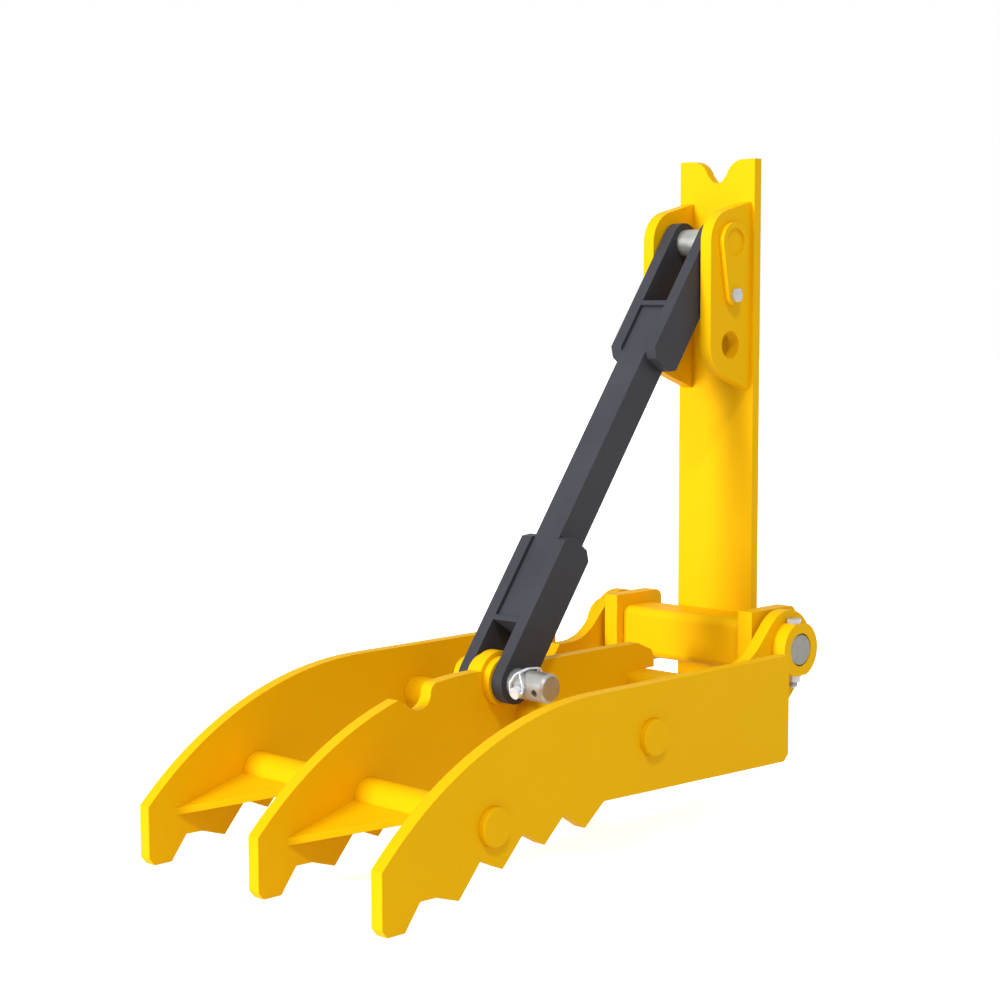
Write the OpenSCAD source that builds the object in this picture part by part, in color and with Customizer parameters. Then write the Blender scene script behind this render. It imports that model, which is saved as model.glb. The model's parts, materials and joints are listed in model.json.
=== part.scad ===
// Weld-on mechanical thumb for a small excavator: a stick plate with two ears, a toothed thumb
// that swings on a main pin, and a stiff link that holds the thumb open.
// X runs across the stick, the thumb reaches toward -Y, and Z runs up the stick.
// The origin is on the weld face, level with the thumb's main pin.

/* [Stick plate] */
// Width of the plate that is welded along the stick
plate_width = 88; // [84:1:100]
// Thickness of that plate
plate_thick = 10; // [8:0.5:12]
// Height of the plate's top above the main pin
plate_top = 446; // [436:1:480]
// Length of the plate below the main pin
plate_below = 54; // [40:1:80]
// Depth of the fishtail notch in the plate's top edge
fishtail_depth = 21; // [18:1:24]

/* [Main pivot] */
// Distance from the weld face to the main pin's axis
pivot_out = 33.5; // [32:0.5:40]
// Side of the square pivot housing
housing_side = 47; // [45:1:48]
// Length of the pivot housing between its cheeks
housing_len = 146; // [130:1:150]
// Radius of the housing's long edges
housing_round = 8; // [3:1:12]
// Thickness of each cheek
cheek_thick = 15.5; // [10:0.5:18]
// Height of each cheek
cheek_height = 69; // [60:1:80]
// Distance from the main pin's axis to a cheek's front edge
cheek_front = 33; // [26:1:36]
// Diameter of the main pin
main_pin_dia = 30; // [24:1:32]
// Wall of the bushes that the main pin turns in
bush_wall = 3.5; // [2:0.5:5]
// Length of each bush
bush_len = 45; // [30:1:60]
// Side gap between a cheek and its pivot lug
lug_side_gap = 4.5; // [1:0.5:8]

/* [Ears] */
// Thickness of each ear
ear_thick = 12; // [10:0.5:14]
// Gap between the two ears
ear_gap = 56; // [55:0.5:60]
// Distance from the holes' centres to the ears' rounded front corners
ear_edge = 29.5; // [26:0.5:34]
// Slope of the ears' top edge, in degrees
ear_slope_top = 14; // [8:1:20]
// Slope of the ears' bottom edge, in degrees
ear_slope_bottom = 20; // [8:1:24]
// How far the ear holes stand out past the main pin's axis
hole_out = 5.5; // [3:0.5:9]
// Height of the upper ear hole above the main pin
upper_hole = 369; // [360:1:380]
// Height of the lower ear hole above the main pin
lower_hole = 275; // [265:1:285]
// Diameter of the upper pin and the lower pin
link_pin_dia = 25; // [22:0.5:26]

/* [Upper pin lock] */
// Thickness of the flag that keeps the upper pin from turning
flag_thick = 5.5; // [4:0.5:8]
// Metal round the pin at the flag's big end
flag_rim = 5.5; // [4:0.5:8]
// Radius of the flag's small end
flag_small_r = 9.5; // [8.5:0.5:12]
// Distance from the upper pin down to the flag's bolt
flag_bolt_drop = 48.5; // [44:0.5:54]
// How far the upper pin's far end stands out of its ear
upper_pin_out = 6; // [2:0.5:12]
// How far the upper pin's end lies below the flag's face, where it is plug welded
plug_depth = 2.5; // [1:0.5:3.5]

/* [Bolts] */
// Thread diameter of the bolts
bolt_dia = 8; // [6:1:10]
// Distance across the flats of bolt heads and nuts
bolt_flats = 12; // [11:0.5:13]
// Height of the flag bolt's head
flag_head_height = 4; // [3:0.5:8]
// Height of the two bolt heads on the main pin's rings
ring_head_height = 4.5; // [3:0.5:8]
// Depth of the flats that the bolt heads and nuts sit on, cut into the rings
ring_spot_depth = 1.5; // [1:0.5:3]
// Height of the nuts
nut_height = 6.5; // [5:0.5:8]
// Length of thread past a nut
thread_past_nut = 5.5; // [1:0.5:7]

/* [Thumb plates] */
// Thickness of the three toothed plates
thumb_plate = 12; // [10:0.5:14]
// Width of the thumb over its side plates
thumb_width = 292; // [284:1:310]
// Height of the plates' top edge above the main pin
top_edge = 4.8; // [2:0.2:8]
// Distance from the weld face to the side plates' rear edge
plate_rear = 87; // [80:1:92]
// Distance from the weld face to where the top edge starts to curve down
curve_start = 340; // [330:1:350]
// Distance from the weld face to the nose
nose_out = 572.8; // [565:0.2:580]
// Depth of the nose's upper corner below the main pin
nose_top_drop = 93; // [85:1:105]
// Depth of the nose's tip below the main pin
tip_drop = 142; // [138:1:148]
// Width of the flat under the nose
tip_flat = 22.5; // [16:0.5:26]
// Depth of the tooth root behind the nose, below the main pin
nose_root_drop = 122; // [119:0.5:126]
// Distance from one tooth to the next
tooth_pitch = 46.7; // [45:0.1:48]
// Distance from the nose back to the first tooth's tip
first_tooth_back = 77.4; // [75:0.2:80]
// Depth of the first tooth's tip below the main pin
first_tooth_drop = 129.8; // [127:0.2:133]
// Depth of the plates' bottom edge at the rear, below the main pin
heel_drop = 89.2; // [88:0.2:96]

/* [Stow notch] */
// Clearance round the upper pin in the notch that holds it when the thumb is stowed
stow_clear = 0.5; // [0.3:0.1:1.5]
// Radius of the rounded edge behind the notch
stow_lead_r = 8; // [6:0.5:10]
// Distance from the notch's centre forward to its lip
stow_lip = 23.5; // [20:0.5:28]

/* [Pivot lugs] */
// Thickness of each pivot lug
lug_thick = 12; // [10:0.5:14]
// Radius of a pivot lug round the main pin
lug_r = 35; // [30:0.5:36]
// Height of a lug's front flange above the cross beam
lug_flange = 12; // [8:0.5:15]
// Radius of the fillet where a lug's neck meets its flange
lug_fillet = 48; // [40:1:50]
// How far a lug reaches down the back of the cross beam
lug_foot = 52; // [46:1:58]
// Outer diameter of the rings that lock the main pin
ring_dia = 50; // [44:1:56]
// Length of each ring along the main pin
ring_len = 14.5; // [14.5:0.5:18]

/* [Cross members] */
// Distance from the weld face to the rear of the cross beam
beam_rear = 110; // [108:1:114]
// Depth of the cross beam from front to rear
beam_depth = 34; // [30:1:38]
// Height of the cross beam
beam_height = 60; // [58:1:64]
// Distance of the cross beam's top below the main pin
beam_drop = 20; // [19:0.5:22]
// Wall of the cross beam
beam_wall = 5; // [3:0.5:7]
// Radius of the cross beam's long edges
beam_round = 8; // [7.5:0.5:10]
// Diameter of the two round cross bars
bar_dia = 30.5; // [26:0.5:34]
// How far the cross bars stand out of the side plates
bar_out = 6; // [2:0.5:10]
// Distance from the nose back to the front cross bar
front_bar_back = 113.3; // [108:0.1:118]
// Depth of the front cross bar below the main pin
front_bar_drop = 79.6; // [76:0.2:82]
// Distance from the weld face to the rear cross bar
rear_bar_out = 273.4; // [266:0.2:280]
// Depth of the rear cross bar below the main pin
rear_bar_drop = 39.5; // [38:0.5:46]
// Thickness of the grip webs
web_thick = 6; // [4:0.5:8]
// Slope of the grip webs, in degrees
web_slope = 14.5; // [10:0.5:16]
// Reach of a grip web along the plates, from the front bar's axis
web_reach = 88; // [80:1:92]
// Reach of a grip web at the root of its notch, from the front bar's axis
web_root = 23; // [20:1:30]

/* [Link lug] */
// Outer diameter of the boss that the lower pin passes through
boss_dia = 42; // [38:0.5:44]
// Radius of the hump round the boss
hump_r = 25; // [24.5:0.5:28]
// Play of the lower pin in the boss, all round
boss_play = 1.2; // [1.1:0.1:1.6]

/* [Link] */
// Thickness of the four link straps
strap_thick = 12; // [10:0.5:13]
// Width of the straps
strap_width = 37; // [34:0.5:40]
// Length of a strap from its pin
strap_len = 137; // [120:1:150]
// Length of the chamfers at a strap's inner end
strap_cut_len = 7; // [4:0.5:12]
// Depth of the chamfers at a strap's inner end
strap_cut_depth = 8; // [4:0.5:11]
// Gap between two straps, which is also the width of the link's bar
fork_gap = 28; // [27:0.5:29]
// Depth of the link's bar
link_bar_depth = 30.5; // [24:0.5:33]
// Thickness of the webs that close the forks
fork_web = 5; // [4:0.5:8]
// Distance from the lower pin to the lower fork's web
lower_fork_depth = 47; // [44:1:60]
// Distance from the upper pin to the upper fork's web
upper_fork_depth = 78.5; // [60:0.5:90]

/* [Lower pin] */
// Distance from the middle plate's centre to the lower pin's free end
lower_pin_end = 66; // [64:1:70]
// Diameter of the lower pin's head
lower_head_dia = 33; // [28:0.5:36]
// Thickness of the lower pin's head
lower_head_thick = 8; // [5:0.5:10]
// Distance from the middle plate's centre to the linchpin in use
linchpin_at = 40; // [39:0.5:41]
// Distance from the linchpin to the spare cross hole
cross_hole_step = 17.5; // [16:0.5:18]
// Diameter of the linchpin's shaft
linchpin_dia = 6; // [5:0.5:6.5]
// Diameter of the linchpin's head
linchpin_head_dia = 10.2; // [9:0.2:12]
// Length of the linchpin's head
linchpin_head_len = 5.8; // [5:0.2:7]
// Tilt of the linchpin below level, in degrees
linchpin_tilt = 16; // [0:1:30]
// Diameter of the bail's wire
bail_wire = 1.6; // [1.4:0.1:2]

/* [Fits] */
// Running clearance of pins in bushes and straps, all round
run_clear = 0.08; // [0.05:0.01:0.1]
// Gap of pins, bars and bushes that are driven or welded in, all round
seat_clear = 0.1; // [0.05:0.01:0.15]
// Side gap between pieces that turn past each other
side_clear = 0.5; // [0.3:0.1:0.9]

/* [Hidden] */
$fn = 64;
left = -1;
right = 1;

steel_yellow = [0.98, 0.79, 0.10];
link_grey = [0.33, 0.33, 0.35];
pin_grey = [0.62, 0.62, 0.61];
zinc = [0.76, 0.78, 0.80];
bronze = [0.72, 0.55, 0.30];

// Points in the side view are [y, z].
pivot = [-pivot_out, 0];
upper_at = pivot + [-hole_out, upper_hole];
lower_ear_at = pivot + [-hole_out, lower_hole];
// A quarter turn about the main pin carries the thumb's two seats onto the ear holes.
lower_at = pivot + [-lower_hole, -hole_out];
stow_at = pivot + [-upper_hole, -hole_out];

link_line = upper_at - lower_at;
link_len = norm(link_line);
link_angle = atan2(link_line[1], link_line[0]);

lug_in = housing_len / 2 + cheek_thick + lug_side_gap;
lug_out = lug_in + lug_thick;
ring_out = lug_out + ring_len;
ring_bolt_at = (lug_out + ring_out) / 2;
ring_seat = ring_dia / 2 - ring_spot_depth;
ring_spot_width = bolt_flats / cos(30) + 1;
main_pin_chamfer = 1.5;
bush_dia = main_pin_dia + 2 * run_clear + 2 * bush_wall;

ear_in = ear_gap / 2;
ear_out = ear_in + ear_thick;
flag_out = ear_out + flag_thick;
strap_in = fork_gap / 2;
strap_out = strap_in + strap_thick;
flag_bolt_z = upper_at[1] - flag_bolt_drop;

side_out = thumb_width / 2;
side_in = side_out - thumb_plate;
front_bar = [-nose_out + front_bar_back, -front_bar_drop];
// The curved top edge leaves the straight one smoothly and ends at the nose's upper corner.
curve_run = nose_out - curve_start;
curve_fall = top_edge + nose_top_drop;
curve_r = (curve_run * curve_run + curve_fall * curve_fall) / (2 * curve_fall);
rear_bar = [-rear_bar_out, -rear_bar_drop];
beam_front = beam_rear + beam_depth;
lower_head_in = -strap_out - side_clear;

// A round stretch from one angle to another, as points.
function arc(centre, r, from, to, steps = 10) =
    [for (i = [0:steps]) let (a = from + (to - from) * i / steps) centre + r * [cos(a), sin(a)]];

function flipped(points) = [for (i = [len(points) - 1:-1:0]) [-points[i][0], points[i][1]]];

function bar_corners(low, high, r, steps = 6) =
    concat(arc([high[0] - r, high[1] - r], r, 0, 90, steps),
           arc([low[0] + r, high[1] - r], r, 90, 180, steps),
           arc([low[0] + r, low[1] + r], r, 180, 270, steps),
           arc([high[0] - r, low[1] + r], r, 270, 360, steps));

// Carries a side view outline across the part, from one x to another.
module across(x0, x1) {
    translate([min(x0, x1), 0, 0]) rotate([90, 0, 90]) linear_extrude(abs(x1 - x0)) children();
}

module hole(at, dia) {
    translate(at) circle(d = dia);
}

module round_bar(at, dia, x0, x1, chamfer = 0) {
    half = (x1 - x0) / 2;
    translate([(x0 + x1) / 2, at[0], at[1]]) rotate([0, 90, 0])
        rotate_extrude() polygon([[0, -half], [dia / 2 - chamfer, -half], [dia / 2, -half + chamfer],
                                  [dia / 2, half - chamfer], [dia / 2 - chamfer, half], [0, half]]);
}

module hexagon(flats) {
    circle(d = flats / cos(30), $fn = 6);
}

// Stick plate and ears

fishtail_crown_r = 20;
fishtail_root_r = 10;
fishtail_half = 30;

module stick_plate() {
    root = arc([0, plate_top - fishtail_depth + fishtail_root_r], fishtail_root_r, 270, 312);
    crown = arc([fishtail_half, plate_top - fishtail_crown_r], fishtail_crown_r, 160, 90);
    right_half = concat(root, crown, [[plate_width / 2, plate_top], [plate_width / 2, -plate_below]]);
    color(steel_yellow) rotate([90, 0, 0]) linear_extrude(plate_thick)
        polygon(concat(right_half, flipped(right_half)));
}

module ear(side) {
    top = arc(upper_at, ear_edge, 90 + ear_slope_top, 180);
    bottom = arc(lower_ear_at, ear_edge, 180, 270 - ear_slope_bottom);
    top_rise = (-plate_thick - top[0][0]) * tan(ear_slope_top);
    bottom_fall = (-plate_thick - bottom[len(bottom) - 1][0]) * tan(ear_slope_bottom);
    color(steel_yellow) across(side * ear_in, side * ear_out) difference() {
        polygon(concat([[-plate_thick, top[0][1] + top_rise]], top, bottom,
                       [[-plate_thick, bottom[len(bottom) - 1][1] - bottom_fall]]));
        hole(upper_at, link_pin_dia + 2 * seat_clear);
        hole(lower_ear_at, link_pin_dia + 2 * seat_clear);
        if (side == right) hole([upper_at[0], flag_bolt_z], bolt_dia + 2 * seat_clear);
    }
}

module ear_left() { ear(left); }
module ear_right() { ear(right); }

// Pivot housing

module pivot_housing() {
    half = housing_side / 2;
    color(steel_yellow) across(-housing_len / 2, housing_len / 2) difference() {
        polygon(bar_corners([-plate_thick - housing_side, -half], [-plate_thick, half], housing_round));
        hole(pivot, bush_dia + 2 * seat_clear);
    }
}

module cheek(side) {
    half = cheek_height / 2;
    front = pivot[0] - cheek_front;
    inner = side * housing_len / 2;
    color(steel_yellow) across(inner, inner + side * cheek_thick) difference() {
        polygon(concat([[front, -half], [0, -half]],
                       arc([-housing_round, half - housing_round], housing_round, 0, 90, 6), [[front, half]]));
        hole(pivot, bush_dia + 2 * seat_clear);
    }
}

module cheek_left() { cheek(left); }
module cheek_right() { cheek(right); }

module pivot_bush(side) {
    outer = side * (housing_len / 2 + cheek_thick);
    color(bronze) across(outer, outer - side * bush_len) difference() {
        hole(pivot, bush_dia);
        hole(pivot, main_pin_dia + 2 * run_clear);
    }
}

module pivot_bush_left() { pivot_bush(left); }
module pivot_bush_right() { pivot_bush(right); }

module main_pin() {
    color(pin_grey) difference() {
        round_bar(pivot, main_pin_dia, -ring_out, ring_out, main_pin_chamfer);
        for (side = [left, right]) ring_bolt_hole(side);
    }
}

module pin_ring(side) {
    color(steel_yellow) difference() {
        across(side * lug_out, side * ring_out) difference() {
            hole(pivot, ring_dia);
            hole(pivot, main_pin_dia + 2 * seat_clear);
        }
        ring_bolt_hole(side);
        // Flats for the bolt's head above and its nut below
        for (up = [-1, 1]) translate([side * ring_bolt_at, pivot[0], pivot[1] + up * ring_dia / 2])
            cube([2 * ring_len, ring_spot_width, 2 * ring_spot_depth], center = true);
    }
}

module pin_ring_left() { pin_ring(left); }
module pin_ring_right() { pin_ring(right); }

module ring_bolt_hole(side) {
    translate([side * ring_bolt_at, pivot[0], pivot[1]])
        cylinder(d = bolt_dia + 2 * seat_clear, h = 2 * ring_dia, center = true);
}

ring_bolt_len = 2 * ring_seat + nut_height + thread_past_nut;

module ring_bolts() {
    color(zinc) for (side = [left, right]) translate([side * ring_bolt_at, pivot[0], pivot[1] + ring_seat]) {
        rotate([0, 0, 30]) linear_extrude(ring_head_height) hexagon(bolt_flats);
        translate([0, 0, -ring_bolt_len]) cylinder(d = bolt_dia, h = ring_bolt_len);
    }
}

module ring_nuts() {
    color(zinc) for (side = [left, right])
        translate([side * ring_bolt_at, pivot[0], pivot[1] - ring_seat - nut_height])
            linear_extrude(nut_height) difference() {
                rotate(30) hexagon(bolt_flats);
                circle(d = bolt_dia + 2 * seat_clear);
            }
}

// Upper pin and its lock

module upper_pin() {
    color(zinc) round_bar(upper_at, link_pin_dia, -ear_out - upper_pin_out, flag_out - plug_depth, 0.8);
}

module upper_pin_flag() {
    big = link_pin_dia / 2 + flag_rim;
    bolt_at = [upper_at[0], flag_bolt_z];
    // The flag's straight sides touch both round ends.
    lean = asin((big - flag_small_r) / flag_bolt_drop);
    color(steel_yellow) across(ear_out, flag_out) difference() {
        polygon(concat(arc(upper_at, big, -lean, 180 + lean, 32),
                       arc(bolt_at, flag_small_r, 180 + lean, 360 - lean, 20)));
        hole(upper_at, link_pin_dia + 2 * seat_clear);
        hole(bolt_at, bolt_dia + 2 * seat_clear);
    }
}

module flag_bolt() {
    color(zinc) {
        across(flag_out, flag_out + flag_head_height)
            translate([upper_at[0], flag_bolt_z]) hexagon(bolt_flats);
        across(ear_in, flag_out) hole([upper_at[0], flag_bolt_z], bolt_dia);
    }
}

// Toothed plates

nose_cut = [5, 6];
nose_heel = 15.5;
root_flat = [16, 0.4];
heel_cut = 6;
teeth = 4;
tip_rise = 17.6;
tip_rise_less = 2.6;
valley_back = 22.9;
valley_rise = 25.7;
valley_rise_less = 2.7;

function nose_angle() = acos((curve_start - nose_out) / curve_r);
function top_curve(from, to) = arc([-curve_start, top_edge - curve_r], curve_r, from, to, 24);
function curve_z(y) = top_edge - curve_r + sqrt(pow(curve_r, 2) - pow(y + curve_start, 2));
function curve_angle(y) = acos((y + curve_start) / curve_r);

// The teeth follow the grip's curve: each tip and valley sits a little higher than the last.
function tooth_points() = [for (k = [0:teeth - 1])
    let (tip = [first_tooth_back - nose_out + tooth_pitch * k,
                -first_tooth_drop + tip_rise * k - tip_rise_less * k * k])
    each [tip, tip + [valley_back, valley_rise - valley_rise_less * k]]];

function nose_and_teeth() = let (root = [-nose_out + tip_flat + nose_heel, -nose_root_drop]) concat(
    [[-nose_out, -tip_drop + nose_cut[1]], [-nose_out + nose_cut[0], -tip_drop],
     [-nose_out + tip_flat, -tip_drop], root, root + [root_flat[0], -root_flat[1]]],
    tooth_points());

function side_outline() = concat(
    top_curve(90, nose_angle()), nose_and_teeth(),
    [[-plate_rear - heel_cut, -heel_drop], [-plate_rear, -heel_drop + heel_cut], [-plate_rear, top_edge]]);

module cross_bar_holes() {
    hole(front_bar, bar_dia + 2 * seat_clear);
    hole(rear_bar, bar_dia + 2 * seat_clear);
}

module side_plate(side) {
    color(steel_yellow) across(side * side_in, side * side_out) difference() {
        polygon(side_outline());
        cross_bar_holes();
    }
}

module side_plate_left() { side_plate(left); }
module side_plate_right() { side_plate(right); }

saddle_rear = 5;
saddle_slope = [19, 8];
saddle_corner = [4, 7];

module middle_plate() {
    pocket_r = link_pin_dia / 2 + stow_clear;
    lead_y = stow_at[0] + pocket_r + stow_lead_r;
    lip = [stow_at[0] - stow_lip, curve_z(stow_at[0] - stow_lip)];
    to_lip = lip - stow_at;
    // The pocket's front side runs straight from the pocket's bottom out to the lip.
    pocket_end = atan2(to_lip[1], to_lip[0]) + acos(pocket_r / norm(to_lip));
    pocket_last = pocket_end < 0 ? pocket_end : pocket_end - 360;
    rear = -beam_rear + saddle_rear;
    color(steel_yellow) across(-thumb_plate / 2, thumb_plate / 2) difference() {
        union() {
            polygon(concat(
                top_curve(90, curve_angle(lead_y)),
                arc([lead_y, curve_z(lead_y) - stow_lead_r], stow_lead_r, 92, 178),
                arc(stow_at, pocket_r, -10, pocket_last),
                top_curve(curve_angle(lip[0]), nose_angle()), nose_and_teeth(),
                [[-beam_front, -heel_drop], [-beam_front, -beam_drop - beam_round]],
                arc([-beam_front + beam_round, -beam_drop - beam_round], beam_round, 180, 90, 6),
                [[rear, -beam_drop], [rear, top_edge - saddle_slope[1] - saddle_corner[1]],
                 [rear - saddle_corner[0], top_edge - saddle_slope[1]],
                 [rear - saddle_corner[0] - saddle_slope[0], top_edge]]));
            hole(lower_at, 2 * hump_r);
        }
        hole(lower_at, boss_dia + 2 * seat_clear);
        cross_bar_holes();
    }
}

module lug_boss() {
    half = strap_in - side_clear;
    color(steel_yellow) across(-half, half) difference() {
        hole(lower_at, boss_dia);
        hole(lower_at, link_pin_dia + 2 * boss_play);
    }
}

// Pivot lugs

lug_toe = 15;
lug_toe_slope = 9;

module pivot_lug(side) {
    flange_z = -beam_drop + lug_flange;
    // The neck leaves the round end at 45 degrees and meets the flange in a fillet.
    neck = pivot + lug_r * [cos(135), sin(135)];
    corner_y = neck[0] - (neck[1] - flange_z);
    fillet_y = corner_y - lug_fillet * tan(22.5);
    heel = pivot + lug_r * [cos(-45), sin(-45)];
    foot_z = -beam_drop - lug_foot;
    color(steel_yellow) across(side * lug_in, side * lug_out) difference() {
        polygon(concat(
            arc(pivot, lug_r, -45, 135, 36),
            arc([fillet_y, flange_z + lug_fillet], lug_fillet, 315, 270),
            [[fillet_y - lug_toe, flange_z], [fillet_y - lug_toe - lug_toe_slope, -beam_drop],
             [-beam_rear, -beam_drop], [-beam_rear, foot_z], [heel[0] - (heel[1] - foot_z), foot_z]]));
        hole(pivot, main_pin_dia + 2 * seat_clear);
    }
}

module pivot_lug_left() { pivot_lug(left); }
module pivot_lug_right() { pivot_lug(right); }

// Cross members

module cross_beam() {
    low = [-beam_front, -beam_drop - beam_height];
    high = [-beam_rear, -beam_drop];
    wall = [beam_wall, beam_wall];
    color(steel_yellow) across(-side_in, side_in) difference() {
        polygon(bar_corners(low, high, beam_round));
        polygon(bar_corners(low + wall, high - wall, beam_round - beam_wall + 0.5));
    }
}

module cross_bar_front() {
    color(steel_yellow) round_bar(front_bar, bar_dia, -side_out - bar_out, side_out + bar_out, 1);
}

module cross_bar_rear() {
    color(steel_yellow) round_bar(rear_bar, bar_dia, -side_out - bar_out, side_out + bar_out, 1);
}

module grip_web(side) {
    inner = thumb_plate / 2;
    outer = side_in;
    color(steel_yellow) difference() {
        translate([0, front_bar[0], front_bar[1]]) rotate([web_slope, 0, 0])
            translate([0, 0, -web_thick / 2]) linear_extrude(web_thick)
                polygon([for (p = [[inner, 0], [inner, -web_reach], [(inner + outer) / 2, -web_root],
                                   [outer, -web_reach], [outer, 0]]) [side * p[0], p[1]]]);
        round_bar(front_bar, bar_dia + 2 * seat_clear, -side_out, side_out);
    }
}

module grip_web_left() { grip_web(left); }
module grip_web_right() { grip_web(right); }

// Link, drawn along y from the lower pin and then leaned into place

module leaned() {
    translate([0, lower_at[0], lower_at[1]]) rotate([link_angle, 0, 0]) children();
}

module strap(side, start, turn) {
    half = strap_width / 2;
    shoulder = strap_len - strap_cut_len;
    color(link_grey) leaned() across(side * strap_in, side * strap_out)
        translate([start, 0]) rotate(turn) difference() {
            polygon(concat(arc([0, 0], half, 90, 270, 32),
                           [[shoulder, -half], [strap_len, strap_cut_depth - half],
                            [strap_len, half - strap_cut_depth], [shoulder, half]]));
            hole([0, 0], link_pin_dia + 2 * run_clear);
        }
}

module strap_upper_left() { strap(left, link_len, 180); }
module strap_upper_right() { strap(right, link_len, 180); }
module strap_lower_left() { strap(left, 0, 0); }
module strap_lower_right() { strap(right, 0, 0); }

module fork_web_at(start) {
    color(link_grey) leaned() across(-strap_in, strap_in)
        translate([start, -strap_width / 2]) square([fork_web, strap_width]);
}

module fork_web_upper() { fork_web_at(link_len - upper_fork_depth - fork_web); }
module fork_web_lower() { fork_web_at(lower_fork_depth); }

module link_bar() {
    start = lower_fork_depth + fork_web;
    color(link_grey) leaned() across(-strap_in, strap_in)
        translate([start, -link_bar_depth / 2])
            square([link_len - upper_fork_depth - fork_web - start, link_bar_depth]);
}

// Lower pin, linchpin and bail

module on_lower_pin(x) {
    translate([x, lower_at[0], lower_at[1]]) rotate([linchpin_tilt, 0, 0]) children();
}

module lower_pin() {
    color(pin_grey) difference() {
        round_bar(lower_at, link_pin_dia, lower_head_in - lower_head_thick, lower_pin_end, 2);
        for (x = [linchpin_at, linchpin_at + cross_hole_step])
            on_lower_pin(x) rotate([90, 0, 0])
                cylinder(d = linchpin_dia + 2 * seat_clear, h = 2 * link_pin_dia, center = true);
    }
}

module lower_pin_head() {
    color(steel_yellow) difference() {
        round_bar(lower_at, lower_head_dia, lower_head_in - lower_head_thick, lower_head_in, 1);
        round_bar(lower_at, link_pin_dia + 2 * seat_clear, lower_head_in - 2 * lower_head_thick, 0);
    }
}

linchpin_past = 1.1;
linchpin_reach = link_pin_dia / 2 + linchpin_past;
linchpin_seat = link_pin_dia / 2 + 0.3;
bail_pivot = linchpin_seat + linchpin_head_len / 2;

module linchpin() {
    color(zinc) on_lower_pin(linchpin_at) difference() {
        rotate([90, 0, 0]) {
            translate([0, 0, -linchpin_reach]) cylinder(d = linchpin_dia, h = linchpin_reach + linchpin_seat);
            translate([0, 0, linchpin_seat]) cylinder(d = linchpin_head_dia, h = linchpin_head_len);
        }
        translate([0, -bail_pivot, 0]) rotate([0, 90, 0])
            cylinder(d = bail_wire + 2 * run_clear, h = 2 * linchpin_head_dia, center = true);
    }
}

bail_leg = linchpin_head_dia / 2 + 2 * side_clear + 1.5 * bail_wire / 2;
bail_corner = 1.4;
bail_pinch = 0.6 * bail_wire;
bail_tip_half = 1.2 * bail_wire;
bail_tip_sag = 1.5;

// The bail's places round the lower pin: angle from the linchpin's tip, gap under the wire, and
// half the distance between its two wires. The wires close up over the pin and part at the tip.
bail_places = [[175, 2.4, bail_leg], [154, 2.5, bail_leg], [129, 3.7, 3], [118, 3.3, bail_pinch],
               [78, 0.6, bail_pinch], [31, 4.2, bail_pinch], [21, 3.4, bail_tip_half], [0, 2.3, bail_tip_half]];
bail_steps = 3;

function between(a, b, c, d, t) =
    0.5 * (2 * b + (c - a) * t + (2 * a - 5 * b + 4 * c - d) * t * t + (3 * b - a - 3 * c + d) * t * t * t);

function smooth(points, steps) = let (last = len(points) - 1) concat(
    [for (i = [0:last - 1], k = [0:steps - 1])
        between(points[max(i - 1, 0)], points[i], points[i + 1], points[min(i + 2, last)], k / steps)],
    [points[last]]);

// One half of the bail's loop, from the middle of the head to the middle of the far end.
function bail_side() = let (over = [for (p = smooth(bail_places, bail_steps))
    let (r = link_pin_dia / 2 + bail_wire / 2 + p[1]) [p[2], r * cos(p[0]), r * sin(p[0])]])
    concat([[0, -bail_pivot, 0], [bail_leg - bail_corner, -bail_pivot, 0]], over,
           [[0, over[len(over) - 1][1], -bail_tip_sag]]);

module linchpin_bail() {
    path = bail_side();
    color(zinc) on_lower_pin(linchpin_at) for (s = [left, right], i = [0:len(path) - 2]) hull()
        for (p = [path[i], path[i + 1]]) translate([s * p[0], p[1], p[2]]) sphere(d = bail_wire, $fn = 12);
}

stick_plate();
ear_left();
ear_right();
pivot_housing();
cheek_left();
cheek_right();
pivot_bush_left();
pivot_bush_right();
upper_pin();
upper_pin_flag();
flag_bolt();
side_plate_left();
side_plate_right();
middle_plate();
lug_boss();
pivot_lug_left();
pivot_lug_right();
pin_ring_left();
pin_ring_right();
main_pin();
ring_bolts();
ring_nuts();
cross_beam();
cross_bar_front();
cross_bar_rear();
grip_web_left();
grip_web_right();
link_bar();
strap_upper_left();
strap_upper_right();
strap_lower_left();
strap_lower_right();
fork_web_upper();
fork_web_lower();
lower_pin();
lower_pin_head();
linchpin();
linchpin_bail();
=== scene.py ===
import bpy
import bmesh
import json
import math
from mathutils import Matrix, Vector


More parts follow.
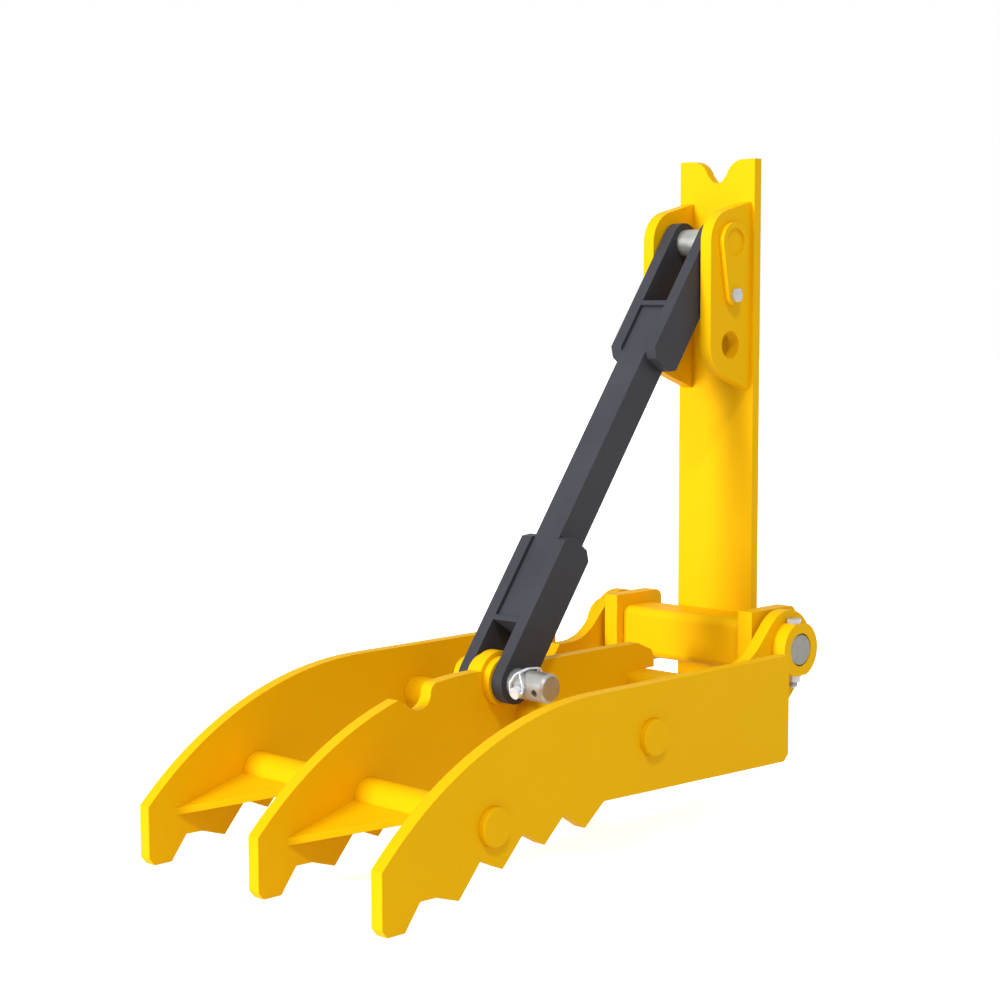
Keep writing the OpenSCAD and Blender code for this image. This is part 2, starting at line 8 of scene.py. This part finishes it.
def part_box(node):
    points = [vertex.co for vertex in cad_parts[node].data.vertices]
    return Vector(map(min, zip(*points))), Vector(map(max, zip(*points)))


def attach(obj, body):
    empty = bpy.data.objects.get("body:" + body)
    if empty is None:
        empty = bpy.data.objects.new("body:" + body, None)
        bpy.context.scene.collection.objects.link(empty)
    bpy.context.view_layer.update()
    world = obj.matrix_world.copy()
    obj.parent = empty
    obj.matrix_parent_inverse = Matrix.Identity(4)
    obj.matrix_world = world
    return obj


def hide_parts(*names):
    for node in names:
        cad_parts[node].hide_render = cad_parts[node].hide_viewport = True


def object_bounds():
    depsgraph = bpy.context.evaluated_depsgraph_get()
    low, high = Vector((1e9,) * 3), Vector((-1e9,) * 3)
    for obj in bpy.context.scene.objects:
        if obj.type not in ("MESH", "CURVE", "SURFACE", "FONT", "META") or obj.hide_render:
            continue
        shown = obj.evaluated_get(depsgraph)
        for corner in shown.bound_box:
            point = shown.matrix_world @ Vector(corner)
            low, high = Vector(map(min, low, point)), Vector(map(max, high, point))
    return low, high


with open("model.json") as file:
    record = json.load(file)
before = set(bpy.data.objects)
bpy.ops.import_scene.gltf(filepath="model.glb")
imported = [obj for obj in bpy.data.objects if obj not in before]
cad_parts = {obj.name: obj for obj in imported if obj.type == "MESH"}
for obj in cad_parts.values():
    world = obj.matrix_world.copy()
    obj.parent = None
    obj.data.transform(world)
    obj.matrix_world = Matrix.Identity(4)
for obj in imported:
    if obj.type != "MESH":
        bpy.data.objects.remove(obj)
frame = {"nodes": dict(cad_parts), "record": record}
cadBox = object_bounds()
nodes = frame["nodes"]
print("frame loaded:", len(nodes), "nodes")


# Colours and shader nodes

def fromHex(code):
    # sRGB hex to linear, because the shader sockets are linear
    channels = [int(code[i:i + 2], 16) / 255 for i in (1, 3, 5)]
    return [c / 12.92 if c <= 0.04045 else ((c + 0.055) / 1.055) ** 2.4 for c in channels] + [1.0]


def addNode(tree, kind, settings=None, links=None):
    node = tree.nodes.new(kind)
    for name, value in (settings or {}).items():
        if name in node.inputs:
            node.inputs[name].default_value = value
        else:
            setattr(node, name, value)
    for name, source in (links or {}).items():
        tree.links.new(source, node.inputs[name])
    return node


def newMaterial(name):
    material = bpy.data.materials.new(name)
    material.use_nodes = True
    tree = material.node_tree
    return material, tree, tree.nodes["Principled BSDF"]


def perMetre(millimetres):
    # noise cells of this size, in a frame measured in metres
    return 1000 / millimetres


# What all finishes share: noise detail, where the two colours part, and how far the grain shows
pattern = {"mottleDetail": 4.0, "grainDetail": 3.0, "darkUpTo": 0.32, "lightFrom": 0.68, "bump": 0.35}


def wear(name, colours, mottle, grain, bumpHeight, roughness, metallic=0.0, specular=0.5):
    # Broad mottling that colour and gloss follow, and a fine grain that gives the bump, in millimetres
    material, tree, shader = newMaterial(name)
    place = {"Vector": addNode(tree, "ShaderNodeTexCoord").outputs["Object"]}
    broad = addNode(tree, "ShaderNodeTexNoise",
                    {"Scale": perMetre(mottle), "Detail": pattern["mottleDetail"]}, place)
    fine = addNode(tree, "ShaderNodeTexNoise",
                   {"Scale": perMetre(grain), "Detail": pattern["grainDetail"]}, place)
    ramp = addNode(tree, "ShaderNodeValToRGB", links={"Fac": broad.outputs["Fac"]})
    stops = zip(ramp.color_ramp.elements, (pattern["darkUpTo"], pattern["lightFrom"]), colours)
    for stop, position, colour in stops:
        stop.position = position
        stop.color = fromHex(colour)
    gloss = addNode(tree, "ShaderNodeMapRange", {"To Min": roughness[0], "To Max": roughness[1]},
                    {"Value": broad.outputs["Fac"]})
    bump = addNode(tree, "ShaderNodeBump", {"Strength": pattern["bump"], "Distance": bumpHeight / 1000},
                   {"Height": fine.outputs["Fac"]})
    tree.links.new(ramp.outputs["Color"], shader.inputs["Base Color"])
    tree.links.new(gloss.outputs["Result"], shader.inputs["Roughness"])
    tree.links.new(bump.outputs["Normal"], shader.inputs["Normal"])
    shader.inputs["Metallic"].default_value = metallic
    shader.inputs["Specular IOR Level"].default_value = specular
    return material


# Sprayed chrome-yellow enamel on shot-blasted plate: deep, even and satin, with a faint orange peel
yellowEnamel = wear("yellow_enamel", ("#F0B802", "#F2BB04"), mottle=160, grain=3.5, bumpHeight=0.04,
                    roughness=(0.46, 0.54), specular=0.05)
# Baked powder coat: blue-black, a little coarser, half matt
charcoalPowder = wear("charcoal_powder_coat", ("#37383E", "#3C3D44"), mottle=60, grain=1.6,
                      bumpHeight=0.05, roughness=(0.48, 0.56), specular=0.15)
# Turned and ground pin steel for the main pin: its colour is darker than the plated pins' as painted
# shade, standing in for an end face that lies in shade
shadedPinSteel = wear("ground_pin_steel_painted_shade", ("#7B7A76", "#878682"), mottle=12, grain=0.8, bumpHeight=0.02,
                roughness=(0.34, 0.46), metallic=1.0)
# Blue-passivated zinc plate on the linchpin and its wire: pale, cold and cloudy, not mirror-like
blueZinc = wear("blue_zinc_plate", ("#D8E2F0", "#E4ECF6"), mottle=5, grain=0.6, bumpHeight=0.01,
                roughness=(0.3, 0.4), metallic=0.25)
# Bolts and nuts: zinc on rolled steel, greyer and more metallic than on the linchpin
boltZinc = wear("dull_zinc_bolts", ("#B4B4B4", "#C2C2C1"), mottle=5, grain=0.6, bumpHeight=0.01,
                roughness=(0.3, 0.42), metallic=0.55)
# Cast bush bronze, bored and faced: warm and brown, with a turned sheen
bushBronze = wear("bush_bronze", ("#9C7436", "#B08A4A"), mottle=8, grain=0.7, bumpHeight=0.02,
                  roughness=(0.3, 0.42), metallic=1.0)
# Zinc-plated link pins: the turned finish shows through the plate as a soft, long highlight
platedPin = wear("zinc_plated_pin", ("#A2A29E", "#B2B2AE"), mottle=9, grain=0.7, bumpHeight=0.015,
                 roughness=(0.3, 0.42), metallic=0.62)
print("materials made")

slotFinish = {
    "yellow_paint": yellowEnamel,
    "charcoal_paint": charcoalPowder,
    "pin_steel": shadedPinSteel,
    "zinc_plate": blueZinc,
    "bush_bronze": bushBronze,
}

slotOf = {part["node"]: part["material_slot"] for part in frame["record"]["subparts"]}


def paint(piece, finish):
    piece.data.materials.clear()
    piece.data.materials.append(finish)


for name, piece in nodes.items():
    paint(piece, slotFinish[slotOf[name]])
# The other two pins get the brighter plated finish; the main pin keeps the darker steel, whose darkness
# is painted shade
for name in ("lower_pin", "upper_pin"):
    paint(nodes[name], platedPin)
print("frame nodes painted")


# Pieces

def addPiece(name, shape, finish, body, replaced=(), smoothAngle=35):
    mesh = bpy.data.meshes.new(name)
    bmesh.ops.recalc_face_normals(shape, faces=shape.faces)
    shape.to_mesh(mesh)
    shape.free()
    mesh.shade_smooth()
    mesh.set_sharp_from_angle(angle=math.radians(smoothAngle))
    piece = bpy.data.objects.new(name, mesh)
    bpy.context.scene.collection.objects.link(piece)
    paint(piece, finish)
    flats = piece.modifiers.new("flats", "WEIGHTED_NORMAL")  # large flats keep their own shading
    flats.mode = "FACE_AREA"
    flats.keep_sharp = True
    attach(piece, body)
    if replaced:
        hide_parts(*replaced)
    return piece


def millimetres(name):
    # a node's lowest and highest corners, in the millimetres that the pieces are drawn in
    return [Vector(corner) * 1000 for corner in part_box(name)]


bodies = frame["record"]["behaviour"]["bodies"]
bodyOf = {name: body for body, names in bodies.items() for name in names}

# Edges are broken with a file before painting, so every edge catches a thin light. Widths are in
# millimetres, angles in degrees: faces that turn more than "sharp" make an edge, under "flat" one face
edges = {"plate": 0.3, "link": 0.35, "turned": 0.25, "segments": 2, "sharp": 28, "flat": 0.3,
         "mergeWithin": 0.001}

plateNodes = [
    "stick_plate", "ear_left", "ear_right", "pivot_housing", "cheek_left", "cheek_right",
    "upper_pin_flag", "side_plate_left", "side_plate_right", "middle_plate", "lug_boss",
    "pivot_lug_left", "pivot_lug_right", "pin_ring_left", "pin_ring_right", "cross_beam",
    "grip_web_left", "grip_web_right", "lower_pin_head",
]
linkNodes = [
    "link_bar", "strap_upper_left", "strap_upper_right", "strap_lower_left", "strap_lower_right",
    "fork_web_upper", "fork_web_lower",
]
turnedNodes = ["linchpin", "lower_pin", "main_pin", "upper_pin"]


def merge(shape):
    bmesh.ops.remove_doubles(shape, verts=shape.verts, dist=edges["mergeWithin"] / 1000)


def soften(name, width):
    # A copy of the solid with its doubles merged, its flats made whole and its edges eased
    shape = bmesh.new()
    shape.from_mesh(nodes[name].data)
    merge(shape)
    bmesh.ops.dissolve_limit(shape, angle_limit=math.radians(edges["flat"]),
                             verts=shape.verts, edges=shape.edges)
    sharp = [edge for edge in shape.edges
             if len(edge.link_faces) == 2 and edge.calc_face_angle() > math.radians(edges["sharp"])]
    bmesh.ops.bevel(shape, geom=sharp, offset=width / 1000, offset_type="OFFSET", affect="EDGES",
                    segments=edges["segments"], profile=0.5, material=-1, clamp_overlap=True)
    addPiece(name + "_eased", shape, nodes[name].data.materials[0], bodyOf[name], (name,))


for kind, names in (("plate", plateNodes), ("link", linkNodes), ("turned", turnedNodes)):
    for name in names:
        soften(name, edges[kind])
print("edges eased")


# Lathe work: a profile of (radius, height) points, spun about the z axis

def spinProfile(shape, points, steps):
    verts = [shape.verts.new((radius / 1000, 0, height / 1000)) for radius, height in points]
    profile = [shape.edges.new(pair) for pair in zip(verts, verts[1:])]
    bmesh.ops.spin(shape, geom=verts + profile, cent=(0, 0, 0), axis=(0, 0, 1), angle=math.tau,
                   steps=steps, use_merge=True)
    merge(shape)


def placeShape(shape, place, direction):
    turn = Vector(direction).to_track_quat("Z", "Y").to_matrix().to_4x4()
    bmesh.ops.transform(shape, matrix=Matrix.Translation(Vector(place) / 1000) @ turn, verts=shape.verts)


# Yellow plug weld that closes the upper pin's end inside the flag. The bead is its raised rim, as
# (distance in from the edge, height over the pin's end) points
plug = {"radius": 12.55, "foot": -0.2, "face": 0.15, "bead": ((0, 0.45), (0.3, 0.3), (0.9, 0.15)),
        "steps": 48}
pinLow, pinHigh = millimetres("upper_pin")
pinMiddle = (pinLow + pinHigh) / 2
shape = bmesh.new()
spinProfile(shape, [(0, plug["foot"]), (plug["radius"], plug["foot"])]
            + [(plug["radius"] - inward, height) for inward, height in plug["bead"]]
            + [(0, plug["face"])], plug["steps"])
placeShape(shape, (pinHigh.x, pinMiddle.y, pinMiddle.z), (1, 0, 0))
addPiece("upper_pin_plug_weld", shape, yellowEnamel, "base")


# Bolts and nuts: 8 mm thread, 12 mm across flats

bolt = {
    "flats": 12.0, "headHeight": 4.5, "flagHeadHeight": 4.0, "nutHeight": 6.5,
    "chamferAngle": 28, "crown": 0.94, "rim": 0.2,  # crown: the turned end face over the flats
    "dia": 8.0, "tip": 0.8, "shoulder": 0.5, "intoHead": 0.5,
    "pitch": 1.25, "threadDepth": 0.7, "threadFoot": 0.2, "threadLap": 0.05,
    "pointsPerFlat": 8, "shankSteps": 32, "threadSteps": 24, "smoothAngle": 30,
}


def addHexagon(shape, low, high, chamferLow, chamferHigh):
    # Six flats whose corners are turned off to a cone at the chamfered ends
    half = bolt["flats"] / 2
    made = bmesh.ops.create_circle(shape, cap_ends=True, segments=6 * bolt["pointsPerFlat"],
                                   radius=half / 1000)
    lowVerts = made["verts"]

    def reach(vert):
        angle = math.atan2(vert.co.y, vert.co.x) % math.radians(60)
        return half / math.cos(angle - math.radians(30))

    def drop(radius):
        return (radius - half * bolt["crown"]) * math.tan(math.radians(bolt["chamferAngle"]))

    def setRing(verts, height, chamfered, way):
        for vert in verts:
            radius = reach(vert)
            outward = Vector((vert.co.x, vert.co.y)).normalized() * radius / 1000
            vert.co = (*outward, (height - (way * drop(radius) if chamfered else 0)) / 1000)

    lowFace = lowVerts[0].link_faces[0]
    raised = bmesh.ops.extrude_face_region(shape, geom=[lowFace], use_keep_orig=True)["geom"]
    highVerts = [item for item in raised if isinstance(item, bmesh.types.BMVert)]
    highFace = next(item for item in raised if isinstance(item, bmesh.types.BMFace))
    setRing(lowVerts, low, chamferLow, -1)
    setRing(highVerts, high, chamferHigh, 1)
    for cap, height, chamfered in ((lowFace, low, chamferLow), (highFace, high, chamferHigh)):
        if not chamfered:
            continue
        bmesh.ops.inset_region(shape, faces=[cap], thickness=bolt["rim"] / 1000)
        for vert in cap.verts:
            flat = Vector((vert.co.x, vert.co.y)).normalized() * half * bolt["crown"] / 1000
            vert.co = (*flat, height / 1000)


def addShank(shape, low, high, threadTop):
    # Plain shank with an eased tip, and a helical thread up to the given height
    crest = bolt["dia"] / 2
    root = crest - bolt["threadDepth"]
    threadLow = low + bolt["tip"]
    spinProfile(shape, [(0, low), (root - bolt["tip"], low), (root, threadLow), (root, threadTop),
                        (crest, threadTop + bolt["shoulder"]), (crest, high), (0, high)],
                bolt["shankSteps"])
    foot = root - bolt["threadFoot"]
    tooth = [shape.verts.new((radius / 1000, 0, (threadLow + rise) / 1000)) for radius, rise in
             ((foot, -bolt["threadLap"]), (crest, bolt["pitch"] / 2),
              (foot, bolt["pitch"] + bolt["threadLap"]))]
    turns = (threadTop - threadLow - bolt["tip"]) / bolt["pitch"]
    steps = round(turns * bolt["threadSteps"])
    bmesh.ops.spin(shape, geom=[shape.faces.new(tooth)], cent=(0, 0, 0), axis=(0, 0, 1),
                   dvec=(0, 0, bolt["pitch"] / bolt["threadSteps"] / 1000),
                   angle=math.tau * steps / bolt["threadSteps"], steps=steps)


def addFastener(name, shape, place, direction, body, replaced):
    placeShape(shape, place, direction)
    addPiece(name, shape, boltZinc, body, (replaced,), bolt["smoothAngle"])


boltLow, boltHigh = millimetres("ring_bolts")
nutLow = millimetres("ring_nuts")[0]
boltOut = boltHigh.x - bolt["flats"] / math.sqrt(3)
boltLine = (boltLow.y + boltHigh.y) / 2
boltSeat = boltHigh.z - bolt["headHeight"]
nutSeat = nutLow.z + bolt["nutHeight"]
for label, way in (("left", -1), ("right", 1)):
    boltPlace = (way * boltOut, boltLine, 0)
    shape = bmesh.new()
    addHexagon(shape, boltSeat, boltHigh.z, False, True)
    addShank(shape, boltLow.z, boltSeat + bolt["intoHead"], nutSeat)
    addFastener("ring_bolt_" + label, shape, boltPlace, (0, 0, 1), "thumb", "ring_bolts")
    shape = bmesh.new()
    addHexagon(shape, nutLow.z, nutSeat, True, True)
    addFastener("ring_nut_" + label, shape, boltPlace, (0, 0, 1), "thumb", "ring_nuts")

flagLow, flagHigh = millimetres("flag_bolt")
flagMiddle = (flagLow + flagHigh) / 2
flagSeat = flagHigh.x - bolt["flagHeadHeight"]
shape = bmesh.new()
addHexagon(shape, flagSeat, flagHigh.x, False, True)
addShank(shape, flagLow.x, flagSeat + bolt["intoHead"], flagLow.x + bolt["dia"])
addFastener("flag_bolt_turned", shape, (0, flagMiddle.y, flagMiddle.z), (1, 0, 0), "base", "flag_bolt")
print("bolts made")


# Bail: spring wire bent round the lower pin, from the linchpin's head to past its tip

bail = {
    "wire": 1.6, "wireRounds": 3, "tilt": 16, "bend": 1.3, "bendSteps": 4, "smoothAngle": 60,
    # half the loop's width, place along the linchpin, height over its shaft
    "corners": ((0, -15.7, 0), (7.3, -15.7, 0), (7.3, -14.2, 6.9), (3.0, -10.7, 13.2),
                (0.96, -8.0, 14.6), (0.96, 2.9, 13.7), (0.96, 15.2, 9.2), (1.92, 15.8, 6.0),
                (1.92, 15.7, 0), (0, 15.6, -1.5)),
}


def bentWire(corners, bend, steps):
    # Straight runs between the corners, each corner rounded to the bend
    found = [corners[0]]
    for before, corner, after in zip(corners, corners[1:], corners[2:]):
        start = corner + (before - corner).normalized() * min(bend, (before - corner).length / 2)
        end = corner + (after - corner).normalized() * min(bend, (after - corner).length / 2)
        for k in range(steps + 1):
            t = k / steps
            found.append(start * (1 - t) ** 2 + corner * 2 * t * (1 - t) + end * t ** 2)
    return found + [corners[-1]]


halfLoop = bentWire([Vector(corner) for corner in bail["corners"]], bail["bend"], bail["bendSteps"])
loop = halfLoop + [Vector((-spot.x, spot.y, spot.z)) for spot in halfLoop[-2:0:-1]]
crossPin = sum(millimetres("linchpin"), Vector()) / 2
lowerPin = sum(millimetres("lower_pin"), Vector()) / 2
bailTurn = Matrix.Rotation(math.radians(bail["tilt"]), 4, "X")
bailPlace = Matrix.Translation((crossPin.x, lowerPin.y, lowerPin.z)) @ bailTurn
wireCurve = bpy.data.curves.new("bail_wire", "CURVE")
wireCurve.dimensions = "3D"
wireCurve.bevel_depth = bail["wire"] / 2000
wireCurve.bevel_resolution = bail["wireRounds"]
spline = wireCurve.splines.new("POLY")
spline.points.add(len(loop) - 1)
spline.use_cyclic_u = True
for point, spot in zip(spline.points, loop):
    point.co = (*(bailPlace @ spot / 1000), 1)
wireHolder = bpy.data.objects.new("bail_wire", wireCurve)
shape = bmesh.new()
shape.from_mesh(bpy.data.meshes.new_from_object(wireHolder))
bpy.data.objects.remove(wireHolder)
addPiece("linchpin_bail_wire", shape, blueZinc, "bail", ("linchpin_bail",),
         bail["smoothAngle"])
print("bail bent")


# Floor, world and lamps

studio = {
    "floorHalf": 12.0,  # metres
    "floorGap": 0.5,  # millimetres under the part's lowest point
    "paper": "#F4F4F4", "paperRoughness": 0.9, "paperGlow": 0.7,  # the glow is for the camera alone
    "fill": 0.5, "white": 1.0,  # the world as the object's light, and as the camera sees it
    # where each lamp comes from, its strength, and its width in degrees
    "lamps": {
        "key_lamp": ((-0.2, -1.0, 0.22), 0.96, 20),
        "top_lamp": ((0.48, -0.4, 0.78), 0.31, 5),
    },
}


def seenDirectly(tree):
    # 1 where the camera or a reflection looks, 0 where a surface only gives light
    rays = addNode(tree, "ShaderNodeLightPath")
    seen = addNode(tree, "ShaderNodeMath", {"operation": "MAXIMUM"})
    tree.links.new(rays.outputs["Is Camera Ray"], seen.inputs[0])
    tree.links.new(rays.outputs["Is Glossy Ray"], seen.inputs[1])
    return seen.outputs["Value"]


floorMesh = bpy.data.meshes.new("floor")
floorShape = bmesh.new()
bmesh.ops.create_grid(floorShape, x_segments=1, y_segments=1, size=studio["floorHalf"])
floorShape.to_mesh(floorMesh)
floorShape.free()
floor = bpy.data.objects.new("floor", floorMesh)
bpy.context.scene.collection.objects.link(floor)
floor.location = (0, 0, cadBox[0][2] - studio["floorGap"] / 1000)

# Pale backdrop paper: matt, and lit a little from within so that it meets the white world
floorPaper, floorTree, floorShader = newMaterial("floor_paper")
floorShader.inputs["Base Color"].default_value = fromHex(studio["paper"])
floorShader.inputs["Roughness"].default_value = studio["paperRoughness"]
floorShader.inputs["Emission Color"].default_value = (*[studio["paperGlow"]] * 3, 1)
floorTree.links.new(seenDirectly(floorTree), floorShader.inputs["Emission Strength"])
paint(floor, floorPaper)

world = bpy.data.worlds.new("studio")
bpy.context.scene.world = world
world.use_nodes = True
worldTree = world.node_tree
background = worldTree.nodes["Background"]
background.inputs["Color"].default_value = (1, 1, 1, 1)
skyStrength = addNode(worldTree, "ShaderNodeMapRange",
                      {"To Min": studio["fill"], "To Max": studio["white"]},
                      {"Value": seenDirectly(worldTree)})
worldTree.links.new(skyStrength.outputs["Result"], background.inputs["Strength"])


def addLamp(name, comesFrom, strength, softness):
    # strength 1 lights a face that looks at the lamp to the colour as written
    lamp = bpy.data.lights.new(name, "SUN")
    lamp.energy = strength * math.pi
    lamp.angle = math.radians(softness)
    holder = bpy.data.objects.new(name, lamp)
    holder.rotation_euler = Vector(comesFrom).to_track_quat("Z", "Y").to_euler()
    bpy.context.scene.collection.objects.link(holder)


for name, (comesFrom, strength, softness) in studio["lamps"].items():
    addLamp(name, comesFrom, strength, softness)
print("studio lit")


# Camera, fitted to the part's corners, pins and holes: metres, radians, pixels and millimetres of sensor

view = {
    "place": (1.21591, -1.54644, 0.31278),
    "azimuth": 0.7736277,
    "elevation": 0.0947662,
    "roll": -0.0017573,
    "focalPixels": 2061.076,
    "framePixels": 1000,
    "sensor": 36,
}

azimuth, elevation = view["azimuth"], view["elevation"]
side = Vector((math.cos(azimuth), math.sin(azimuth), 0))
ahead = Vector((-side.y, side.x, 0))
back = Vector((0, 0, math.sin(elevation))) - ahead * math.cos(elevation)
up = back.cross(side)
roll = Matrix.Rotation(view["roll"], 3, back)
cameraAxes = Matrix([roll @ side, roll @ up, back]).transposed().to_4x4()
camera = bpy.data.objects.new("camera", bpy.data.cameras.new("camera"))
camera.data.sensor_width = view["sensor"]
camera.data.lens = view["focalPixels"] * view["sensor"] / view["framePixels"]
camera.matrix_world = Matrix.Translation(view["place"]) @ cameraAxes
bpy.context.scene.collection.objects.link(camera)
bpy.context.scene.camera = camera
bpy.context.scene.view_settings.view_transform = "Standard"
print("camera placed")
